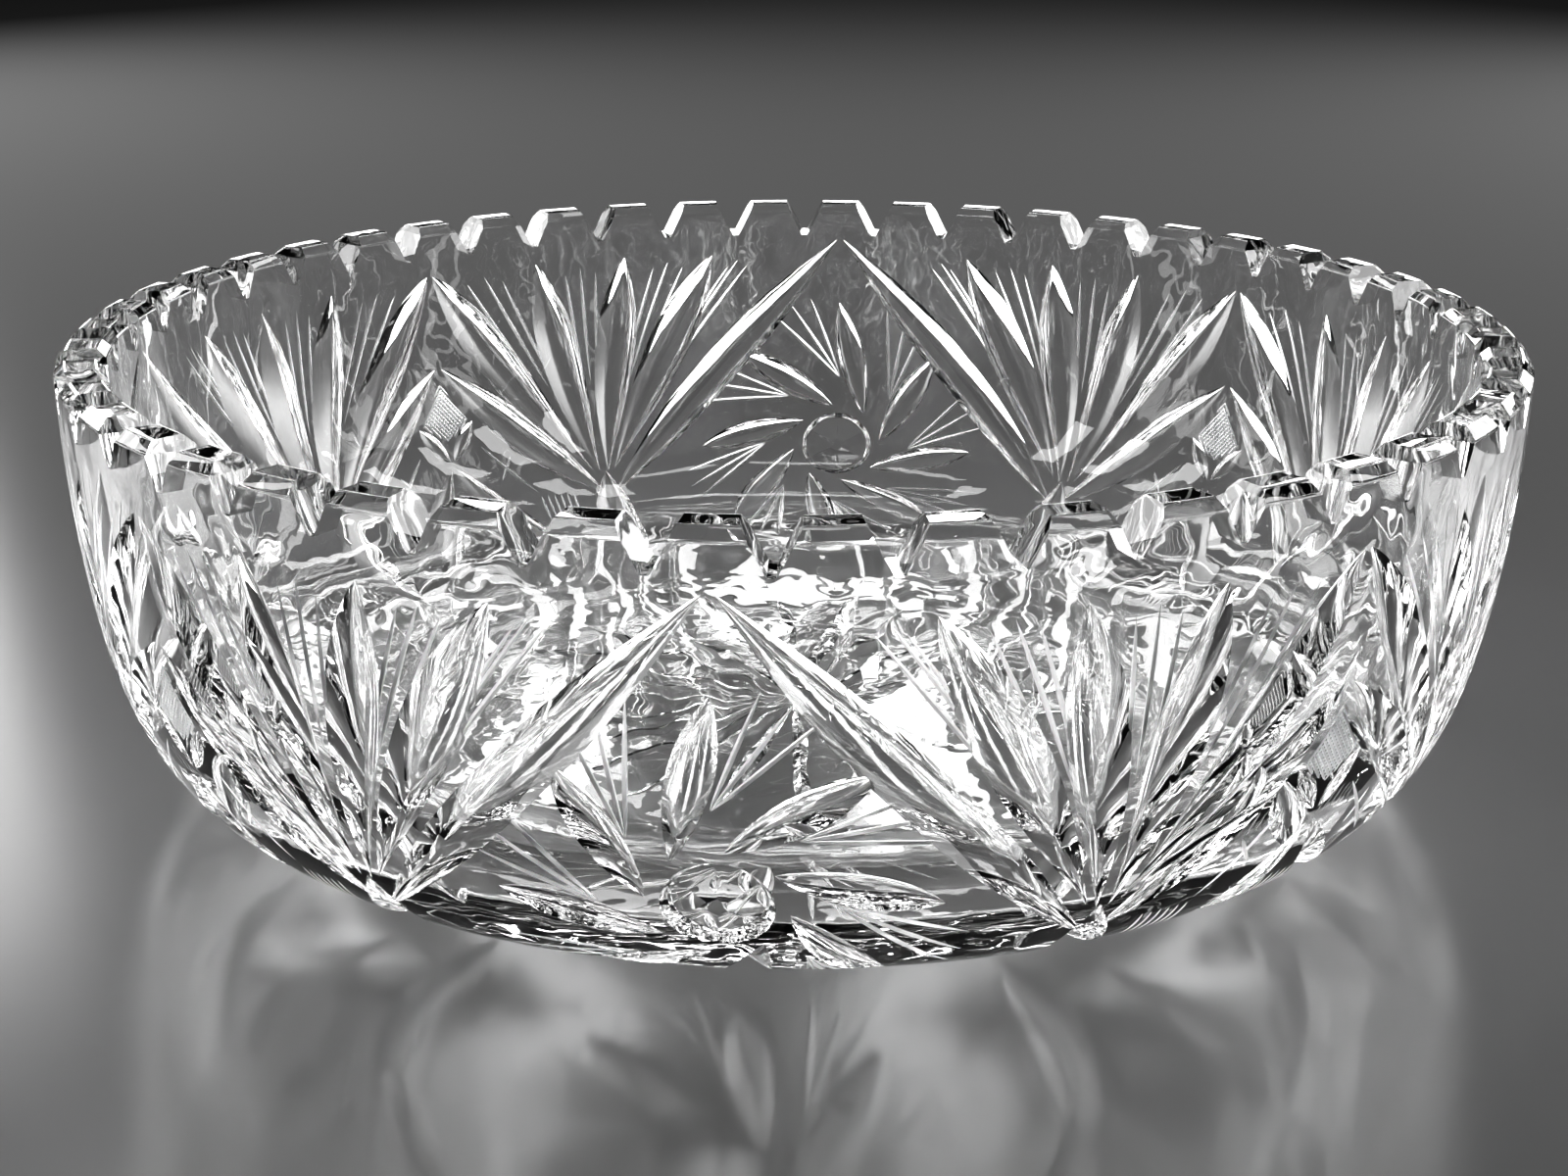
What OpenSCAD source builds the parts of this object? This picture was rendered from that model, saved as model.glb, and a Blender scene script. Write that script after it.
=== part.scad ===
// Low, heavy cut-crystal bowl. One body of glass: a turned blank with a saw-tooth rim,
// then V-shaped wheel cuts on its outside. The inside stays smooth. +Z is up, and the origin
// is the centre of the flat face that it stands on. All lengths are in millimetres, all angles in degrees.
//
// Places on the outer wall are given as [azimuth, drop]: the azimuth from the middle of a
// panel, positive to the right as seen from outside, and the drop measured along the wall
// from the rim down.

/* [Blank] */
// Radius at the widest place, just under the rim
rim_r = 152.5; // [140:0.5:165]
// Height from the table to the top of the rim
bowl_h = 97; // [90:1:105]
// Radius of the flat face that the bowl stands on
foot_r = 82; // [75:1:90]
// Radius at which the wall's curve runs out into the shallow cone around that face
heel_r = 118; // [110:1:125]
// Height of that place above the table
heel_h = 6; // [4:0.5:8]
// Thickness of the wall at the rim
wall_t = 10.2; // [9:0.1:13]
// Thickness of the floor in the middle
floor_t = 13; // [11:0.5:16]
// Conical faces that make up each wall's curve
wall_steps = 12; // [8:1:16]

/* [Rim] */
// Number of teeth, a multiple of eight so that one sits over each panel's middle
teeth = 48; // [32:8:64]
// Width of a notch at the top, between two teeth
notch_w = 9.9; // [7:0.1:11]
// Width of a notch at its blunt bottom
notch_floor_w = 1.5; // [1:0.1:3]
// Depth of a notch
notch_depth = 8.1; // [6:0.1:9]
// Width and height of the polished bevel along the outer edge of the rim
outer_bevel = [2.2, 2.2];
// Width and height of the bevel along the inner edge of the rim
inner_bevel = [1.9, 2];

/* [Cutting] */
// Half the angle of the V-shaped edge of the mitre wheel
mitre_half_angle = 60; // [52:1:65]
// Depth of the two long cuts that arch over a pinwheel
arch_depth = 2.7; // [1.8:0.1:3.2]
// Depth of a fan flute in its middle
flute_depth = 3.2; // [2:0.1:3.6]
// Depth of the chevron that frames a diamond
chevron_depth = 2.7; // [1.8:0.1:3.2]
// Depth of a pinwheel vane in its middle
vane_depth = 2; // [1.2:0.1:2.4]
// Depth of an upper and of a lower arm of the star under each diamond
star_depths = [1.2, 2.8];
// Depth of the upright cut that takes a fan's foot round the heel
heel_depth = 3.4; // [2:0.1:4]
// Depth of the cuts in the star underneath, at the middle of a ray
base_star_depth = 1.2; // [0.8:0.1:2]

/* [Pattern] */
// Number of pinwheel panels, each followed by a diamond panel
panels = 4; // [4]
// Tops of a fan's four flutes, from the arch outwards
flute_tops = [[13.6, 13], [23, 12.5], [32.8, 12.5], [44.6, 12]];
// Foot of each of those flutes
flute_feet = [[25.6, 72.5], [26.5, 73.5], [27.5, 73.5], [28.4, 72.5]];
// Upper and lower end of the chevron cut that frames the diamond
chevron = [[44.6, 37], [27.4, 80.5]];
// Upper and lower end of one side of the arch
arch = [[0.4, 8.2], [26.4, 81.5]];
// Upper and lower end of the cut round the heel
heel_cut = [[27, 73], [27, 116]];
// Drop of a pinwheel's hub
hub_drop = 67.5; // [62:0.5:72]
// Radii of the inside and the outside of the ring groove around the hub's button
hub_ring = [6.5, 9.7];
// Number of vanes on a pinwheel
vanes = 8; // [6:1:10]
// Distance from the hub to a vane's two ends
vane_reach = [12.2, 38.5];
// Angle that a vane swings, clockwise from outside, on its way out
vane_sweep = 38; // [20:1:50]
// Drop of the middle of the four-armed star under the diamond
star_drop = 64; // [60:0.5:70]
// Upper and lower arm of that star: sideways and downwards distance of each tip
star_arms = [[8.5, -11.5], [19, 40.5]];
// Number of rays of the star cut into the underside
base_rays = 24; // [16:4:32]
// Distance from the middle to the two ends of a ray
base_ray_reach = [4, 74];

/* [Hidden] */
$fn = 96;
// How far a cutter stands clear of the glass it cuts
clear = 1.5;
// Gap left between two cuts that would otherwise meet in a point
land = 1.6;
// How far out from the heel the wall's curve is still led by the slope of the heel
heel_run = 14.6;

// Control points of the two wall curves, from the rim down, as [radius, height]
outer_curve = [
    [rim_r, bowl_h - outer_bevel.y],
    [rim_r * 0.992, bowl_h * 0.13],
    [heel_r + heel_run, heel_h + heel_run * heel_h / (heel_r - foot_r)],
    [heel_r, heel_h]
];
inner_curve = [
    [rim_r - wall_t, bowl_h - inner_bevel.y],
    [rim_r - wall_t - 2, bowl_h * 0.28],
    [rim_r * 0.87, floor_t],
    [foot_r * 0.8, floor_t]
];

// Point on a cubic curve with control points p, at t from 0 to 1
function cubic(p, t) =
    pow(1 - t, 3) * p[0] + 3 * pow(1 - t, 2) * t * p[1] + 3 * (1 - t) * t * t * p[2] + pow(t, 3) * p[3];
function sampled(p) = [for (i = [0 : wall_steps]) cubic(p, i / wall_steps)];

// Length of the path through points p as far as point i
function path_length(p, i) = i == 0 ? 0 : path_length(p, i - 1) + norm(p[i] - p[i - 1]);

outer_wall = concat(sampled(outer_curve), [[foot_r, 0]]);
inner_wall = sampled(inner_curve);
corners = len(outer_wall) - 1;
drop_of = [for (i = [0 : corners]) path_length(outer_wall, i)];
radius_at = [for (i = [0 : corners]) [drop_of[i], outer_wall[i].x]];
height_at = [for (i = [0 : corners]) [drop_of[i], outer_wall[i].y]];

function unit(v) = v / norm(v);
function around(az, r, z) = [r * sin(az), -r * cos(az), z];
function degrees_of(length, r) = length / r * 180 / PI;

// Point on the outer wall, and the outward direction there
function on_wall(p) = around(p.x, lookup(p.y, radius_at), lookup(p.y, height_at));
function out_of_wall(p) =
    let (step = 4, above = [lookup(p.y - step, radius_at), lookup(p.y - step, height_at)],
         below = [lookup(p.y + step, radius_at), lookup(p.y + step, height_at)],
         down = unit(below - above))
    around(p.x, -down.y, down.x);

// Place on the wall at a sideways and a downwards distance from another one
function beside(p, offset) =
    [p.x + degrees_of(offset.x, lookup(p.y + offset.y, radius_at)), p.y + offset.y];

// Moves children into the frame with the given origin and perpendicular unit directions
module in_frame(origin, x, y, z) {
    multmatrix([
        [x.x, y.x, z.x, origin.x],
        [x.y, y.y, z.y, origin.y],
        [x.z, y.z, z.z, origin.z],
        [0, 0, 0, 1]
    ]) children();
}

// Volume that a V-edged wheel takes out between points p and q, given the point m of the
// surface midway, the outward direction there and the depth of the cut. The bottom of the
// groove is an arc through p, q and the point that is depth under m. On a strongly curved
// surface the arc bulges outwards, and the V is then on the inside of a ring.
module v_groove(p, q, m, outward, depth) {
    middle = (p + q) / 2;
    along = unit(q - p);
    across = unit(cross(outward, along));
    out = cross(along, across);
    half_chord = norm(q - p) / 2;
    dip = depth - (m - middle) * out;
    sag = max(abs(dip), 0.02);
    side = dip > 0 ? 1 : -1;
    arc_r = (half_chord * half_chord + sag * sag) / (2 * sag);
    half_arc = asin(half_chord / arc_r) * 1.06;
    reach = depth + clear;
    half_width = reach * tan(mitre_half_angle);
    in_frame(middle + side * (arc_r - sag) * out, -side * out, along, -side * across)
        rotate([0, 0, -half_arc])
            rotate_extrude(angle = 2 * half_arc)
                polygon([
                    [arc_r, 0],
                    [arc_r - side * reach, half_width],
                    [arc_r - side * reach, -half_width]
                ]);
}

// V groove between two places on the outer wall
module wall_groove(a, b, depth) {
    mid = (a + b) / 2;
    v_groove(on_wall(a), on_wall(b), on_wall(mid), out_of_wall(mid), depth);
}

module turned_blank() {
    rotate_extrude()
        polygon(concat(
            [[0, 0]],
            [for (i = [corners : -1 : 0]) outer_wall[i]],
            [[rim_r - outer_bevel.x, bowl_h], [rim_r - wall_t + inner_bevel.x, bowl_h]],
            inner_wall,
            [[0, floor_t]]
        ));
}

module rim_notches() {
    slope = (notch_w - notch_floor_w) / 2 / notch_depth;
    top_w = notch_w + 2 * slope * clear;
    inner_r = rim_r - wall_t - clear;
    for (i = [0 : teeth - 1])
        rotate([0, 0, (i + 0.5) * 360 / teeth])
            translate([0, -inner_r, bowl_h])
                rotate([90, 0, 0])
                    linear_extrude(wall_t + 2 * clear)
                        polygon([
                            [-notch_floor_w / 2, -notch_depth],
                            [notch_floor_w / 2, -notch_depth],
                            [top_w / 2, clear],
                            [-top_w / 2, clear]
                        ]);
}

module hub_ring_groove() {
    hub = [0, hub_drop];
    outward = out_of_wall(hub);
    sideways = [1, 0, 0];
    width = hub_ring[1] - hub_ring[0];
    flare = width / 2 + clear;
    centre_r = (hub_ring[0] + hub_ring[1]) / 2;
    depth = vane_depth;
    in_frame(on_wall(hub), sideways, cross(outward, sideways), outward)
        rotate_extrude()
            polygon([
                [centre_r, -depth],
                [centre_r + flare, -depth + flare * 2 * depth / width],
                [centre_r - flare, -depth + flare * 2 * depth / width]
            ]);
}

// Vane end at a distance from the hub and an angle clockwise from straight up
function vane_end(reach, angle) = beside([0, hub_drop], [reach * sin(angle), -reach * cos(angle)]);

module pinwheel() {
    hub_ring_groove();
    for (i = [0 : vanes - 1]) {
        tip_angle = i * 360 / vanes;
        wall_groove(
            vane_end(vane_reach[0], tip_angle - vane_sweep),
            vane_end(vane_reach[1], tip_angle),
            vane_depth
        );
    }
}

// Arch, fan, chevron and heel cut on the right of a pinwheel's axis
module fan() {
    wall_groove(arch[0], arch[1], arch_depth);
    for (i = [0 : len(flute_tops) - 1])
        wall_groove(flute_tops[i], flute_feet[i], flute_depth);
    wall_groove(chevron[0], chevron[1], chevron_depth);
    wall_groove(heel_cut[0], heel_cut[1], heel_depth);
}

// Star on a diamond panel's axis, half of its four arms
module diamond_star() {
    middle = [0, star_drop];
    for (i = [0 : len(star_arms) - 1]) {
        arm = star_arms[i];
        wall_groove(beside(middle, land * unit(arm)), beside(middle, arm), star_depths[i]);
    }
}

module base_star() {
    for (i = [0 : base_rays - 1]) {
        az = (i + 0.5) * 360 / base_rays;
        mid_r = (base_ray_reach[0] + base_ray_reach[1]) / 2;
        v_groove(
            around(az, base_ray_reach[0], 0),
            around(az, base_ray_reach[1], 0),
            around(az, mid_r, 0),
            [0, 0, -1],
            base_star_depth
        );
    }
}

module wall_pattern() {
    for (i = [0 : panels - 1])
        rotate([0, 0, i * 360 / panels]) {
            pinwheel();
            for (side = [0, 1])
                mirror([side, 0, 0]) {
                    fan();
                    rotate([0, 0, 180 / panels]) diamond_star();
                }
        }
}

module bowl() {
    color("aliceblue", 0.6)
        difference() {
            turned_blank();
            rim_notches();
            wall_pattern();
            base_star();
        }
}

bowl();
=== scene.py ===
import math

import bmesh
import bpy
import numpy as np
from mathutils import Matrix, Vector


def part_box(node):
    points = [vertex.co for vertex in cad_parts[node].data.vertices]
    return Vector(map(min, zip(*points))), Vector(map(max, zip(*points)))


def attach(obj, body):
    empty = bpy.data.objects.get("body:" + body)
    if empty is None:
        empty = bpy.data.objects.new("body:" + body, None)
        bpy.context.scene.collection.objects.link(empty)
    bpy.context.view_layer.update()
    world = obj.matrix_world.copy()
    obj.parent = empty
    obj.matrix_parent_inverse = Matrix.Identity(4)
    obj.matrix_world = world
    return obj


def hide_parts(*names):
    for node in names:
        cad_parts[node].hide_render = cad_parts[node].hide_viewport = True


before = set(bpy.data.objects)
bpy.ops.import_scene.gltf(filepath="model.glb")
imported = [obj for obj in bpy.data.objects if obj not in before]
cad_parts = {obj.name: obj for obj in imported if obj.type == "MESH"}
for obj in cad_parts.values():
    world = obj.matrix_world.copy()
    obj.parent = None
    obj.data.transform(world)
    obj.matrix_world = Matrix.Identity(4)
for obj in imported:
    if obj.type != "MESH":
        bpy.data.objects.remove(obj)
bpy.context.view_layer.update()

# A low, heavy bowl of clear cut crystal on a pale studio floor.
#
# The blank is turned from two wall curves. The teeth, the wide cuts, the engraved lines and the
# hatched patches are then cut out of it, as a cutter's wheels do, so that each facet refracts
# like the real one. Lengths are in millimetres until a mesh is made. A place on the outer wall
# is (azimuth, drop): degrees from the middle of a pinwheel panel, to the right as seen from
# outside, and the distance down the wall from the rim's bevel.

MM = 0.001
low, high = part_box("bowl")
BOWL_H = (high[2] - low[2]) / MM
RIM_R = (high[0] - low[0]) / 2 / MM

# Blank
FOOT_R = 82
HEEL = (118, 6)
HEEL_RUN = 14.6
WALL_T = 10.2
FLOOR_T = 13
OUTER_BEVEL = (2.2, 2.2)
INNER_BEVEL = (1.9, 2)
EDGE_R = 0.45
AROUND = 320
WALL_STEPS = 48

# Rim
TEETH = 48
NOTCH_W = 9.9
NOTCH_FLOOR_W = 1.5
NOTCH_DEPTH = 8.1

# Pattern: four pinwheel panels, with a diamond panel between each two
PANELS = 4
PANEL = 360 / PANELS
FAN_FOOT = (27, 73)
FLUTES = (
    ((13.6, 12.6), (25.9, 73)),
    ((23.0, 12.2), (26.7, 74)),
    ((32.8, 12.2), (27.6, 74)),
    ((44.7, 12.0), (28.3, 73)),
)
FLUTE_DEPTH = 3.7
ARCH = ((0.3, 8.4), (26.6, 82))
ARCH_DEPTH = 3.3
CHEVRON = ((44.7, 36.8), (27.4, 81))
CHEVRON_DEPTH = 3.2
HEEL_CUT = ((27, 73), (27, 116))
HEEL_CUT_DEPTH = 3.3

# Engraved lines between the flutes: the first azimuth, their spacing as a share of the gap, the
# drop of the middle one's top, how much lower its neighbours start, and their share of the way down
LINES_FROM = 7.8
LINE_SPACING = 0.17
LINE_TOP = 13.5
LINE_STAGGER = 1.5
LINE_REACH = 0.56

# Diamond panel. Places here are sideways and downwards distances on the wall. An arm of the star
# has its two ends, its depth and its leaf shape.
STAR_DROP = 64
STAR_ARMS = (
    ((0.6, -0.8), (8.5, -11.5), 1.4, (0.5, 0.8, 0.8)),
    ((0.7, 1.5), (19, 40.5), 3.0, (0.55, 0.9, 0.9)),
)
STAR_LINES = (
    ((9.5, -4), (23, 14)),
    ((18, 0.5), (13.5, 8)),
)
LOZENGE = ((0, 41), (7.4, 52.5), (0, 57.5), (-7.4, 52.5))
HATCH_SLANTS = (52, -52)
HATCH_PITCH = 0.95
HATCH_DEPTH = 0.22
HEEL_LINES = 17
HEEL_LINE_PITCH = 0.8
HEEL_LINE_DROPS = (79, 90)
HEEL_LINE_DEPTH = 0.3
# Azimuths between which a lower arm of the star crosses the lines round the heel
ARM_CROSSING = (6.2, 9.4)

# Pinwheel
HUB_DROP = 67.5
HUB_RING_R = 8.1
HUB_RING_DEPTH = 1.9
HUB_RING_HALF_ANGLE = 42
HUB_RING_STEPS = 48
BUTTON_SIDES = 6
BUTTON_LAND = 1.6
BUTTON_FALL = 0.42
VANES = 8
VANE_REACH = (12.2, 38.5)
TOP_VANE_EXTRA = 3
VANE_SWEEP = 38
VANE_DEPTH = 2.5
GAP_LINE_REACH = (20, 44)
GAP_LINE_START = -2
GAP_LINE_TURNS = (11, 19, 27)

# Underside
BASE_RAYS = 24
BASE_RAY_REACH = (4, 74)
BASE_RAY_DEPTH = 1.2

# Wheels: half the angle of the edge, and how far one stands clear of the glass beside a cut and
# at the two ends of it
WIDE_HALF_ANGLE = 58
ENGRAVED_HALF_ANGLE = 50
CLEAR = 1.1
LIFT = 0.04
# How far a cut's steps crowd towards its two ends: 0 spaces them evenly
END_BIAS = 0.35
# How full the flanks of a wide cut are: 1 makes them straight, and 2 makes them one round hollow
BELLY = 1.8

GLASS, CUT, GREY = range(3)


# ---------------------------------------------------------------- curves of the blank


def cubic(points, t):
    """Point on a cubic curve with four control points, at t from 0 to 1."""
    a, b, c, d = (np.array(p, float) for p in points)
    return (1 - t) ** 3 * a + 3 * (1 - t) ** 2 * t * b + 3 * (1 - t) * t * t * c + t ** 3 * d


def sampled(points, steps):
    return [cubic(points, i / steps) for i in range(steps + 1)]


def rounded(before, corner, after, radius, steps=4):
    """Points of a small round that replaces a corner."""
    before, corner, after = (np.array(p, float) for p in (before, corner, after))
    start = corner + radius * (before - corner) / np.linalg.norm(before - corner)
    end = corner + radius * (after - corner) / np.linalg.norm(after - corner)
    ts = [i / steps for i in range(steps + 1)]
    return [(1 - t) ** 2 * start + 2 * (1 - t) * t * corner + t * t * end for t in ts]


heel_slope = HEEL[1] / (HEEL[0] - FOOT_R)
OUTER_CURVE = (
    (RIM_R, BOWL_H - OUTER_BEVEL[1]),
    (RIM_R * 0.992, BOWL_H * 0.13),
    (HEEL[0] + HEEL_RUN, HEEL[1] + HEEL_RUN * heel_slope),
    HEEL,
)
INNER_CURVE = (
    (RIM_R - WALL_T, BOWL_H - INNER_BEVEL[1]),
    (RIM_R - WALL_T - 2, BOWL_H * 0.28),
    (RIM_R * 0.87, FLOOR_T),
    (FOOT_R * 0.8, FLOOR_T),
)
outer_wall = np.array(sampled(OUTER_CURVE, WALL_STEPS) + [(FOOT_R, 0)])
inner_wall = np.array(sampled(INNER_CURVE, WALL_STEPS))


def blank_profile():
    """Half section of the blank, from the middle of the underside round to that of the floor."""
    rim = [
        outer_wall[0],
        (RIM_R - OUTER_BEVEL[0], BOWL_H),
        (RIM_R - WALL_T + INNER_BEVEL[0], BOWL_H),
        inner_wall[0],
    ]
    around_rim = [outer_wall[1], *rim, inner_wall[1]]
    edges = []
    for i in range(len(rim)):
        edges += rounded(around_rim[i], rim[i], around_rim[i + 2], EDGE_R)
    foot = rounded((0, 0), (FOOT_R, 0), HEEL, 3)
    underside = [(0, 0), (FOOT_R / 3, 0), (FOOT_R * 2 / 3, 0)]
    inside_floor = [(FOOT_R * 0.53, FLOOR_T), (FOOT_R * 0.26, FLOOR_T), (0, FLOOR_T)]
    outside, inside = outer_wall[-2:0:-1], inner_wall[1:]
    return np.array([*underside, *foot, *outside, *edges, *inside, *inside_floor])


def path_normals(path):
    """Outward normals along the half section, which runs anticlockwise."""
    stretches = np.diff(path, axis=0)
    before = np.vstack([stretches[:1], stretches])
    after = np.vstack([stretches, stretches[-1:]])
    along = sum(v / np.linalg.norm(v, axis=1, keepdims=True) for v in (before, after))
    normals = np.column_stack([along[:, 1], -along[:, 0]])
    return normals / np.linalg.norm(normals, axis=1, keepdims=True)


profile = blank_profile()
profile_normals = path_normals(profile)

wall_drops = np.concatenate([[0], np.cumsum(np.linalg.norm(np.diff(outer_wall, axis=0), axis=1))])
wall_normals = path_normals(outer_wall[::-1])[::-1]


def wall_radius(drop):
    return float(np.interp(drop, wall_drops, outer_wall[:, 0]))


def turned(azimuth, r, z):
    a = math.radians(azimuth)
    return np.array([r * math.sin(a), -r * math.cos(a), z])


def on_wall(place):
    """Point of the outer wall at a place, and the outward normal there."""
    azimuth, drop = place
    r, z = (np.interp(drop, wall_drops, outer_wall[:, k]) for k in (0, 1))
    nr, nz = (np.interp(drop, wall_drops, wall_normals[:, k]) for k in (0, 1))
    normal = turned(azimuth, nr, nz)
    return turned(azimuth, r, z), normal / np.linalg.norm(normal)


def on_underside(place):
    """The same on the flat underside, where a place is (azimuth, radius)."""
    return turned(*place, 0), np.array([0.0, 0.0, -1.0])


def beside(place, right, down):
    """Place at a sideways and a downwards distance from another one, along the wall."""
    drop = place[1] + down
    return place[0] + math.degrees(right / wall_radius(drop)), drop


# ---------------------------------------------------------------- wheels


cutters = []


def leaf(peak, blunt=0.8, taper=1.15):
    """Depth along a cut that is deepest at peak and tapers off to both ends."""
    def depth(t):
        if t < peak:
            return math.sin(math.pi / 2 * t / peak) ** blunt
        return max(math.cos(math.pi / 2 * (t - peak) / (1 - peak)), 0) ** taper
    return depth


def even(lead_in, lead_out):
    """Depth along a cut that keeps its depth between two tapers."""
    def depth(t):
        return math.sin(math.pi / 2 * min(t / lead_in, (1 - t) / lead_out, 1))
    return depth


def swept(points, normals, depths, half_angle, finish, closed=False, clear=CLEAR, sides=1):
    """Cutter for a groove through surface points, with the depth given at each of them.

    Each half of its section has as many strips as it has sides: one makes a V, and more of them
    make a cut of the same depth and width with rounded flanks.
    """
    points = np.array(points)
    normals = np.array(normals)
    if closed:
        along = np.roll(points, -1, 0) - np.roll(points, 1, 0)
    else:
        along = np.gradient(points, axis=0)
    across = np.cross(along, normals)
    across /= np.linalg.norm(across, axis=1, keepdims=True)
    depths = np.array(depths)[:, None]
    spread = math.tan(math.radians(half_angle))
    half = depths * spread
    lip = clear * spread / (sides * (1 - (1 - 1 / sides) ** BELLY))
    section = [
        points + across * half * (k / sides) - normals * depths * (1 - abs(k / sides) ** BELLY)
        for k in range(1 - sides, sides)
    ]
    section.append(points + normals * clear + across * (half + lip))
    section.append(points + normals * clear - across * (half + lip))
    m, n = len(section), len(points)
    verts = np.hstack(section).reshape(-1, 3)
    faces = []
    for i in range(n if closed else n - 1):
        a, b = m * i, m * ((i + 1) % n)
        for j in range(m):
            k = (j + 1) % m
            faces.append((a + j, b + j, b + k, a + k))
    if not closed:
        faces += [tuple(range(m)), tuple(range(m * n - 1, m * n - m - 1, -1))]
    cutters.append((verts, faces, finish))


def groove(
    start, end, depth, shape,
    half_angle=WIDE_HALF_ANGLE, finish=CUT, step=3.2, surface=on_wall, clear=CLEAR, sides=4,
):
    """Groove between two places of a surface, as deep along it as its shape says."""
    start, end = np.array(start, float), np.array(end, float)
    length = np.linalg.norm(surface(end)[0] - surface(start)[0]) * 1.05
    steps = max(6, math.ceil(length / step))
    points, normals, depths = [], [], []
    for i in range(steps + 1):
        t = (1 - math.cos(math.pi * i / steps)) / 2 * END_BIAS + i / steps * (1 - END_BIAS)
        inside = 0 < i < steps
        point, normal = surface(start + (end - start) * t)
        points.append(point if inside else point + normal * LIFT)
        normals.append(normal)
        depths.append(depth * shape(t) if inside else 0)
    swept(points, normals, depths, half_angle, finish, clear=clear, sides=sides)


def engraved(start, end, depth=0.42):
    """Fine line left by a thin wheel."""
    shape = leaf(0.45, 0.6, 0.8)
    groove(start, end, depth, shape, ENGRAVED_HALF_ANGLE, GREY, step=5, clear=0.5, sides=1)


def side_of(axis, side):
    """Turns a place given for the right-hand side of a panel into one on either side of an axis."""
    return lambda place: (axis + side * place[0], place[1])


# ---------------------------------------------------------------- pattern


def notches():
    """Blunt V notches between the teeth, cut level and straight towards the axis."""
    slope = (NOTCH_W - NOTCH_FLOOR_W) / 2 / NOTCH_DEPTH
    top_w = NOTCH_W + 2 * slope * CLEAR
    section = [
        (-NOTCH_FLOOR_W / 2, -NOTCH_DEPTH),
        (NOTCH_FLOOR_W / 2, -NOTCH_DEPTH),
        (top_w / 2, CLEAR),
        (-top_w / 2, CLEAR),
    ]
    ends = (RIM_R - WALL_T - 2, RIM_R + 2)
    for i in range(TEETH):
        a = math.radians((i + 0.5) * 360 / TEETH)
        outward = np.array([math.sin(a), -math.cos(a), 0])
        sideways = np.array([math.cos(a), math.sin(a), 0])
        verts = [
            outward * r + sideways * x + np.array([0, 0, BOWL_H + z])
            for r in ends for x, z in section
        ]
        faces = [(3, 2, 1, 0), (4, 5, 6, 7)]
        faces += [(j, (j + 1) % 4, 4 + (j + 1) % 4, 4 + j) for j in range(4)]
        cutters.append((np.array(verts), faces, CUT))


def fan(place):
    """One limb of an arch and of a chevron, the heel cut, and four flutes with lines between."""
    groove(place(ARCH[0]), place(ARCH[1]), ARCH_DEPTH, even(0.42, 0.45))
    groove(place(CHEVRON[0]), place(CHEVRON[1]), CHEVRON_DEPTH, even(0.42, 0.45))
    groove(place(HEEL_CUT[0]), place(HEEL_CUT[1]), HEEL_CUT_DEPTH, even(0.35, 0.4))
    for top, foot in FLUTES:
        groove(place(top), place(foot), FLUTE_DEPTH, leaf(0.36))
    edges = [LINES_FROM] + [top[0] for top, _ in FLUTES]
    for left, right in zip(edges, edges[1:]):
        for k in (-1, 0, 1):
            azimuth = (left + right) / 2 + k * (right - left) * LINE_SPACING
            top = (azimuth, LINE_TOP + LINE_STAGGER * abs(k))
            foot = tuple(a + (b - a) * LINE_REACH for a, b in zip(top, FAN_FOOT))
            engraved(place(top), place(foot))


def hub(axis):
    """Ring groove and six-sided button."""
    middle = (axis, HUB_DROP)
    points, normals = [], []
    for i in range(HUB_RING_STEPS):
        a = 2 * math.pi * i / HUB_RING_STEPS
        point, normal = on_wall(beside(middle, HUB_RING_R * math.sin(a), -HUB_RING_R * math.cos(a)))
        points.append(point)
        normals.append(normal)
    depths = [HUB_RING_DEPTH] * HUB_RING_STEPS
    swept(points, normals, depths, HUB_RING_HALF_ANGLE, CUT, closed=True, clear=0.8, sides=3)
    origin, outward = on_wall(middle)
    right = turned(axis + 90, 1, 0)
    up = np.cross(outward, right)
    for i in range(BUTTON_SIDES):
        turn = 2 * math.pi * i / BUTTON_SIDES
        facet(origin, right * math.cos(turn) + up * math.sin(turn), outward)


def facet(origin, direction, outward):
    """One slanting facet of the button, from its flat middle to the middle of the ring groove."""
    sideways = np.cross(outward, direction)
    half = math.pi / BUTTON_SIDES
    plan = [(BUTTON_LAND, -BUTTON_LAND * math.tan(half))]
    for k in range(-2, 3):
        a = half * k / 2
        plan.append((HUB_RING_R * math.cos(a), HUB_RING_R * math.sin(a)))
    plan.append((BUTTON_LAND, BUTTON_LAND * math.tan(half)))
    verts = []
    for top in (False, True):
        for x, y in plan:
            height = 1.0 if top else -(x - BUTTON_LAND) * BUTTON_FALL
            verts.append(origin + direction * x + sideways * y + outward * height)
    n = len(plan)
    faces = [tuple(range(n))[::-1], tuple(range(n, 2 * n))]
    faces += [(j, (j + 1) % n, n + (j + 1) % n, n + j) for j in range(n)]
    cutters.append((np.array(verts), faces, CUT))


def around_hub(axis, reach, angle):
    """Place at a distance from the hub, at an angle clockwise from straight up."""
    a = math.radians(angle)
    return beside((axis, HUB_DROP), reach * math.sin(a), -reach * math.cos(a))


def pinwheel(axis):
    """Vanes that swirl clockwise, the top one the longest, with engraved lines in each gap."""
    hub(axis)
    for i in range(VANES):
        tip = i * 360 / VANES
        reach = VANE_REACH[1] + (TOP_VANE_EXTRA if i == 0 else 0)
        inner = around_hub(axis, VANE_REACH[0], tip - VANE_SWEEP)
        groove(inner, around_hub(axis, reach, tip), VANE_DEPTH, leaf(0.55, 0.8, 0.8))
        for turn in GAP_LINE_TURNS:
            start = around_hub(axis, GAP_LINE_REACH[0], tip + GAP_LINE_START)
            engraved(start, around_hub(axis, GAP_LINE_REACH[1], tip + turn))


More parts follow.
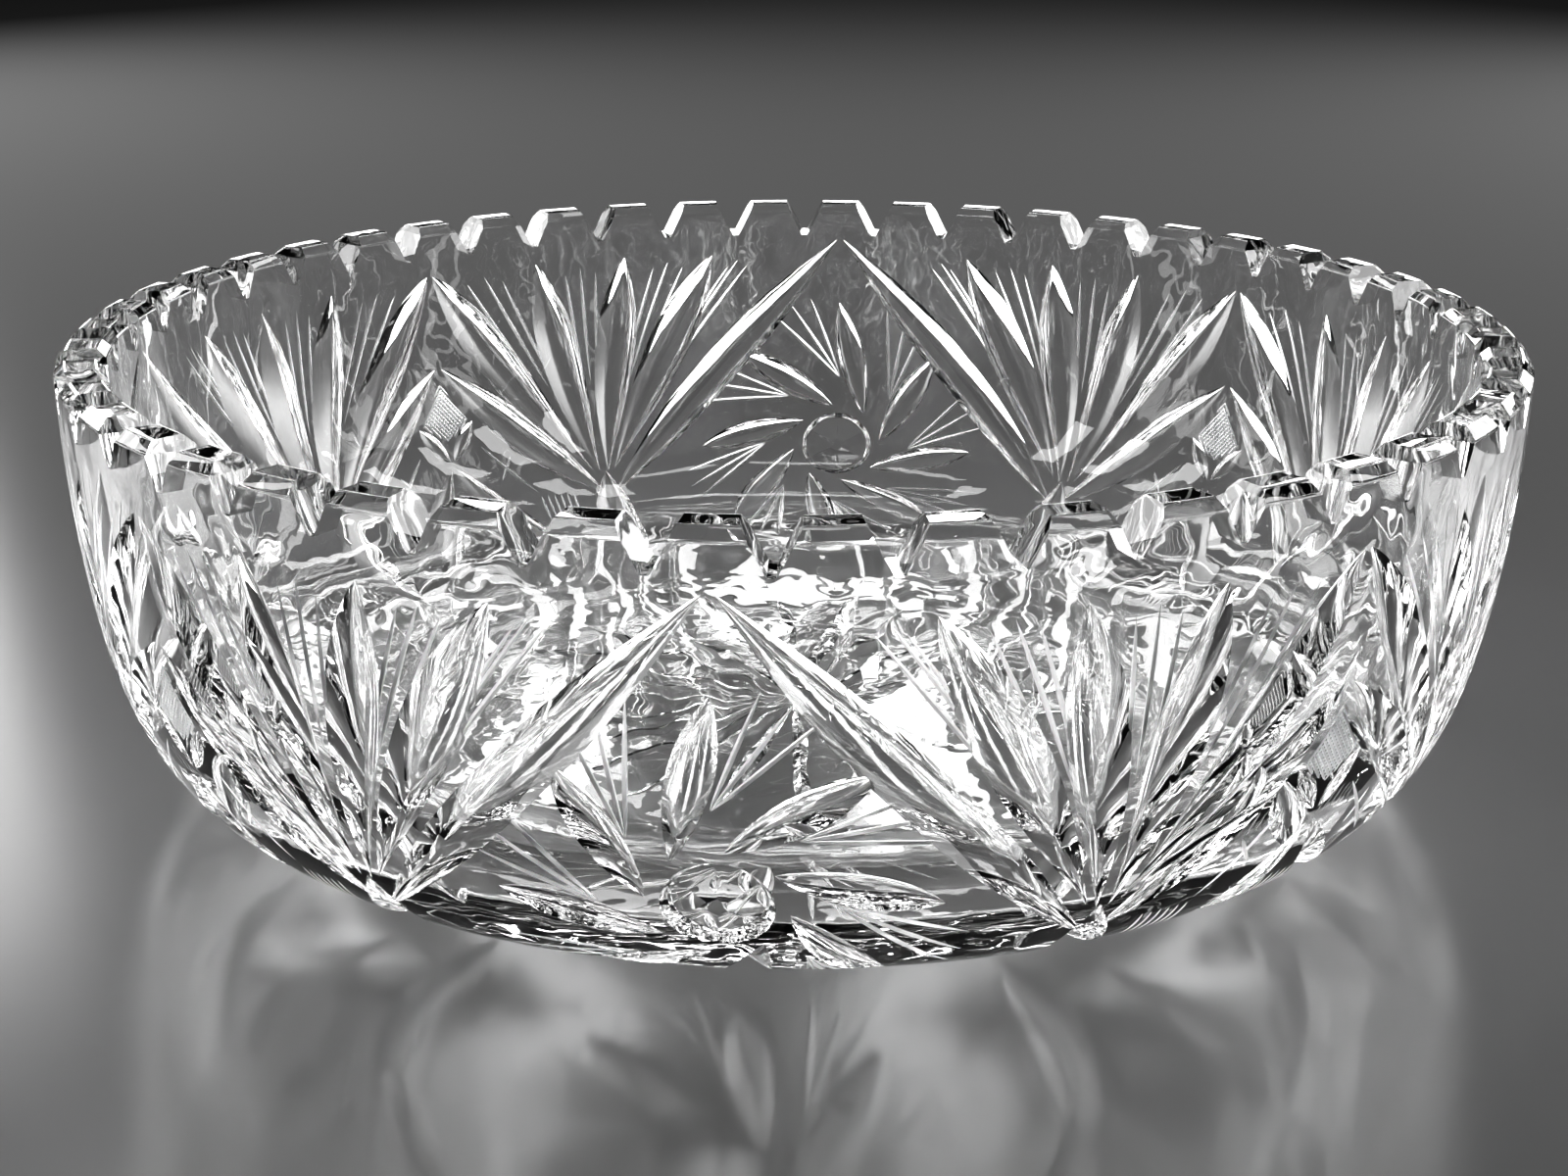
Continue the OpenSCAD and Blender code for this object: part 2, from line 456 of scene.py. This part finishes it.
def star(place):
    """Half of the four-armed star, with the crossed lines beside it."""
    middle = (0, STAR_DROP)
    for inner, outer, depth, shape in STAR_ARMS:
        ends = [place(beside(middle, *end)) for end in (inner, outer)]
        groove(*ends, depth, leaf(*shape))
    for line in STAR_LINES:
        engraved(*[place(beside(middle, *end)) for end in line])


def clipped(outline, origin, direction):
    """Part of a line inside a convex outline, as two points, or None."""
    lo, hi = -math.inf, math.inf
    n = len(outline)
    for i in range(n):
        a, b = np.array(outline[i]), np.array(outline[(i + 1) % n])
        inward = np.array([-(b - a)[1], (b - a)[0]])
        slope, gap = direction @ inward, (origin - a) @ inward
        if abs(slope) < 1e-9:
            if gap < 0:
                return None
        elif slope > 0:
            lo = max(lo, -gap / slope)
        else:
            hi = min(hi, -gap / slope)
    return (origin + direction * lo, origin + direction * hi) if hi > lo + 1 else None


def hatch(axis, outline, slants, pitch):
    """Fine crossed lines that fill an outline given sideways and downwards on the wall."""
    centre = np.mean(outline, axis=0)
    most = 24
    for slant in slants:
        a = math.radians(slant)
        direction = np.array([math.cos(a), math.sin(a)])
        step = np.array([-direction[1], direction[0]]) * pitch
        for k in range(-most, most + 1):
            ends = clipped(outline, centre + k * step, direction)
            if ends is not None:
                places = [beside((axis, 0), *end) for end in ends]
                shape = even(0.1, 0.1)
                groove(*places, HATCH_DEPTH, shape, finish=GREY, step=6, clear=0.4, sides=1)


def diamond(axis):
    """Hatched lozenge under the chevron's point, and the upright lines round the heel."""
    hatch(axis, LOZENGE, HATCH_SLANTS, HATCH_PITCH)
    for k in range(-HEEL_LINES, HEEL_LINES + 1):
        azimuth = k * HEEL_LINE_PITCH
        if not ARM_CROSSING[0] < abs(azimuth) < ARM_CROSSING[1]:
            ends = [(axis + azimuth, drop) for drop in HEEL_LINE_DROPS]
            engraved(*ends, HEEL_LINE_DEPTH)


def base_star():
    """Star of straight rays in the flat underside."""
    for i in range(BASE_RAYS):
        azimuth = (i + 0.5) * 360 / BASE_RAYS
        ends = [(azimuth, r) for r in BASE_RAY_REACH]
        groove(*ends, BASE_RAY_DEPTH, leaf(0.5, 0.8, 0.8), surface=on_underside, sides=1)


def cut_pattern():
    notches()
    base_star()
    for i in range(PANELS):
        axis = i * PANEL
        pinwheel(axis)
        diamond(axis + PANEL / 2)
        for side in (-1, 1):
            fan(side_of(axis, side))
            star(side_of(axis + PANEL / 2, side))


# ---------------------------------------------------------------- meshes


def mesh_object(name, verts, faces, materials, indices=None):
    data = bpy.data.meshes.new(name)
    data.from_pydata([tuple(v * MM for v in p) for p in verts], [], [tuple(f) for f in faces])
    for material in materials:
        data.materials.append(material)
    if indices is not None:
        data.polygons.foreach_set("material_index", indices)
    data.update()
    made = bpy.data.objects.new(name, data)
    bpy.context.scene.collection.objects.link(made)
    return made


def turned_blank(materials):
    """The blank as a closed mesh of quads, with a fan of triangles at each pole."""
    rings = profile[1:-1]
    verts = [(0, 0, profile[0][1])]
    for r, z in rings:
        verts += [turned(360 * i / AROUND, r, z) for i in range(AROUND)]
    verts.append((0, 0, profile[-1][1]))
    last = len(verts) - 1
    faces = []
    for i in range(AROUND):
        j = (i + 1) % AROUND
        faces.append((0, 1 + j, 1 + i))
        for k in range(len(rings) - 1):
            a, b = 1 + k * AROUND, 1 + (k + 1) * AROUND
            faces.append((a + i, a + j, b + j, b + i))
        a = 1 + (len(rings) - 1) * AROUND
        faces.append((a + i, a + j, last))
    return mesh_object("bowl_crystal", [np.array(v) for v in verts], faces, materials)


def cut(blank, materials):
    """Takes all the cutters out of the blank."""
    wheels = bpy.data.collections.new("wheels")
    bpy.context.scene.collection.children.link(wheels)
    made = []
    for verts, faces, finish in cutters:
        one = mesh_object("wheel", verts, faces, materials, [finish] * len(faces))
        bpy.context.scene.collection.objects.unlink(one)
        wheels.objects.link(one)
        made.append(one)
    modifier = blank.modifiers.new("cuts", "BOOLEAN")
    modifier.operation = "DIFFERENCE"
    modifier.solver = "MANIFOLD"
    modifier.operand_type = "COLLECTION"
    modifier.collection = wheels
    graph = bpy.context.evaluated_depsgraph_get()
    result = bpy.data.meshes.new_from_object(blank.evaluated_get(graph))
    blank.modifiers.clear()
    blank.data = result
    for one in made:
        bpy.data.meshes.remove(one.data)
    bpy.data.collections.remove(wheels)


def blank_normals(points):
    """Exact normals of the turned surface at points of it, by the nearest stretch of the section."""
    r = np.hypot(points[:, 0], points[:, 1])
    here = np.column_stack([r, points[:, 2]])
    starts, spans = profile[:-1], np.diff(profile, axis=0)
    nearest = np.full(len(here), np.inf)
    found = np.zeros((len(here), 2))
    for start, span, n0, n1 in zip(starts, spans, profile_normals, profile_normals[1:]):
        t = np.clip((here - start) @ span / (span @ span), 0, 1)[:, None]
        gap = np.linalg.norm(here - start - t * span, axis=1)
        closer = gap < nearest
        nearest[closer] = gap[closer]
        found[closer] = ((1 - t) * n0 + t * n1)[closer]
    sine = np.where(r > 1e-6, points[:, 0] / np.maximum(r, 1e-6), 0)
    cosine = np.where(r > 1e-6, points[:, 1] / np.maximum(r, 1e-6), 0)
    return np.column_stack([found[:, 0] * sine, found[:, 0] * cosine, found[:, 1]])


def shade(piece, crease=20):
    """Crisp arrises between cuts, and exact smooth normals on what is left of the blank."""
    data = piece.data
    bm = bmesh.new()
    bm.from_mesh(data)
    limit = math.radians(crease)
    for edge in bm.edges:
        kinds = {face.material_index == GLASS for face in edge.link_faces}
        edge.smooth = len(kinds) == 1 and edge.calc_face_angle(0) < limit
    for face in bm.faces:
        face.smooth = True
    bm.to_mesh(data)
    bm.free()
    count = len(data.loops)
    normals = np.empty(count * 3, np.float32)
    data.corner_normals.foreach_get("vector", normals)
    normals = normals.reshape(-1, 3)
    vertex = np.empty(count, np.int32)
    data.loops.foreach_get("vertex_index", vertex)
    points = np.empty(len(data.vertices) * 3, np.float32)
    data.vertices.foreach_get("co", points)
    finish = np.empty(len(data.polygons), np.int32)
    data.polygons.foreach_get("material_index", finish)
    sizes = np.empty(len(data.polygons), np.int32)
    data.polygons.foreach_get("loop_total", sizes)
    of_blank = np.repeat(finish == GLASS, sizes)
    exact = blank_normals(points.reshape(-1, 3)[vertex[of_blank]] / MM)
    normals[of_blank] = exact
    data.normals_split_custom_set(normals.tolist())


# ---------------------------------------------------------------- materials


def new_material(name):
    material = bpy.data.materials.new(name)
    material.use_nodes = True
    return material, material.node_tree.nodes, material.node_tree.links


def crystal(name, roughness, ripple_scale, ripple_depth):
    """Clear lead crystal, with the slight waviness that polishing leaves."""
    material, nodes, links = new_material(name)
    shader = nodes["Principled BSDF"]
    shader.inputs["Base Color"].default_value = (1, 1, 1, 1)
    shader.inputs["Transmission Weight"].default_value = 1
    shader.inputs["IOR"].default_value = 1.545
    shader.inputs["Roughness"].default_value = roughness
    place = nodes.new("ShaderNodeTexCoord")
    ripple = nodes.new("ShaderNodeTexNoise")
    ripple.inputs["Scale"].default_value = ripple_scale
    ripple.inputs["Detail"].default_value = 2
    bump = nodes.new("ShaderNodeBump")
    bump.inputs["Strength"].default_value = 1
    bump.inputs["Distance"].default_value = ripple_depth * MM
    links.new(place.outputs["Object"], ripple.inputs["Vector"])
    links.new(ripple.outputs["Fac"], bump.inputs["Height"])
    links.new(bump.outputs["Normal"], shader.inputs["Normal"])
    return material


def pale_floor():
    material, nodes, _ = new_material("pale_floor")
    shader = nodes["Principled BSDF"]
    shader.inputs["Base Color"].default_value = (0.45, 0.45, 0.45, 1)
    shader.inputs["Roughness"].default_value = 0.2
    shader.inputs["Specular IOR Level"].default_value = 0.35
    return material


# ---------------------------------------------------------------- studio


def floor():
    """Large plain floor, just under the resting face because touching surfaces render black."""
    half, gap = 6000, 0.3
    corners = [(-half, -half, -gap), (half, -half, -gap), (half, half, -gap), (-half, half, -gap)]
    made = mesh_object("studio_floor", [np.array(c) for c in corners], [(0, 1, 2, 3)], [pale_floor()])


def camera():
    """The photograph's viewpoint, given round the middle of the rim."""
    azimuth, elevation, distance = math.radians(4.99), math.radians(12.28), 0.51445
    tilt, yaw = math.radians(18.75), math.radians(0.22)
    made = bpy.data.objects.new("camera", bpy.data.cameras.new("camera"))
    bpy.context.scene.collection.objects.link(made)
    made.data.lens = 54.8
    made.data.clip_start = 0.02
    level = distance * math.cos(elevation)
    height = BOWL_H * MM + distance * math.sin(elevation)
    made.location = (level * math.sin(azimuth), -level * math.cos(azimuth), height)
    made.rotation_euler = (math.pi / 2 - tilt, 0, azimuth + yaw)
    bpy.context.scene.camera = made


def softbox(name, azimuth, elevation, distance, size, radiance, lit=None):
    """Rectangular soft light that faces the bowl from a compass direction, 0 being behind it.

    A light that is given a collection to light leaves everything else alone.
    """
    data = bpy.data.lights.new(name, "AREA")
    data.shape = "RECTANGLE"
    data.size, data.size_y = size
    data.energy = radiance * math.pi * size[0] * size[1]
    made = bpy.data.objects.new(name, data)
    bpy.context.scene.collection.objects.link(made)
    a, e = math.radians(azimuth), math.radians(elevation)
    level = distance * math.cos(e)
    middle = Vector((0, 0, BOWL_H * MM / 2))
    made.location = middle + Vector((level * math.sin(a), level * math.cos(a), distance * math.sin(e)))
    made.rotation_euler = (middle - made.location).to_track_quat("-Z", "Y").to_euler()
    made.light_linking.receiver_collection = lit


def lights(bowl):
    """Two wide soft boxes behind the table, and a ring of strips that only the crystal catches."""
    softbox("back_left", -50, 19, 1.6, (1.1, 0.42), 5)
    softbox("back_right", 46, 19, 1.6, (1.1, 0.42), 5)
    softbox("high_left", -30, 38, 1.5, (0.16, 0.16), 7)
    crystal_only = bpy.data.collections.new("crystal_only")
    crystal_only.objects.link(bowl)
    for azimuth, width, radiance in ((-90, 1.2, 3), (0, 2.6, 5), (90, 1.2, 3)):
        softbox(f"horizon_{azimuth}", azimuth, 5, 1.8, (width, 0.4), radiance, crystal_only)
    for azimuth in range(-120, 135, 15):
        softbox(f"strip_{azimuth}", azimuth, 31, 1.3, (0.08, 0.6), 7, crystal_only)
    for azimuth in range(0, 360, 60):
        softbox(f"overhead_{azimuth}", azimuth, 72, 1.3, (0.3, 0.05), 6, crystal_only)
    world = bpy.data.worlds.new("studio")
    world.use_nodes = True
    world.node_tree.nodes["Background"].inputs["Color"].default_value = (0.01, 0.01, 0.01, 1)
    bpy.context.scene.world = world


def picture():
    """Enough bounces for thick glass, and a plain view with some more contrast."""
    cycles = bpy.context.scene.cycles
    cycles.max_bounces = 24
    cycles.transmission_bounces = 24
    cycles.glossy_bounces = 8
    cycles.transparent_max_bounces = 24
    view = bpy.context.scene.view_settings
    view.view_transform = "Standard"
    view.look = "Medium High Contrast"


def build():
    materials = [
        crystal("crystal_polished", 0.0, 55, 0.26),
        crystal("crystal_mitre_cut", 0.03, 75, 0.14),
        crystal("crystal_engraved", 0.3, 900, 0.05),
    ]
    cut_pattern()
    bowl = turned_blank(materials)
    cut(bowl, materials)
    shade(bowl)
    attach(bowl, "root")
    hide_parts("bowl")
    floor()
    camera()
    lights(bowl)
    picture()


build()
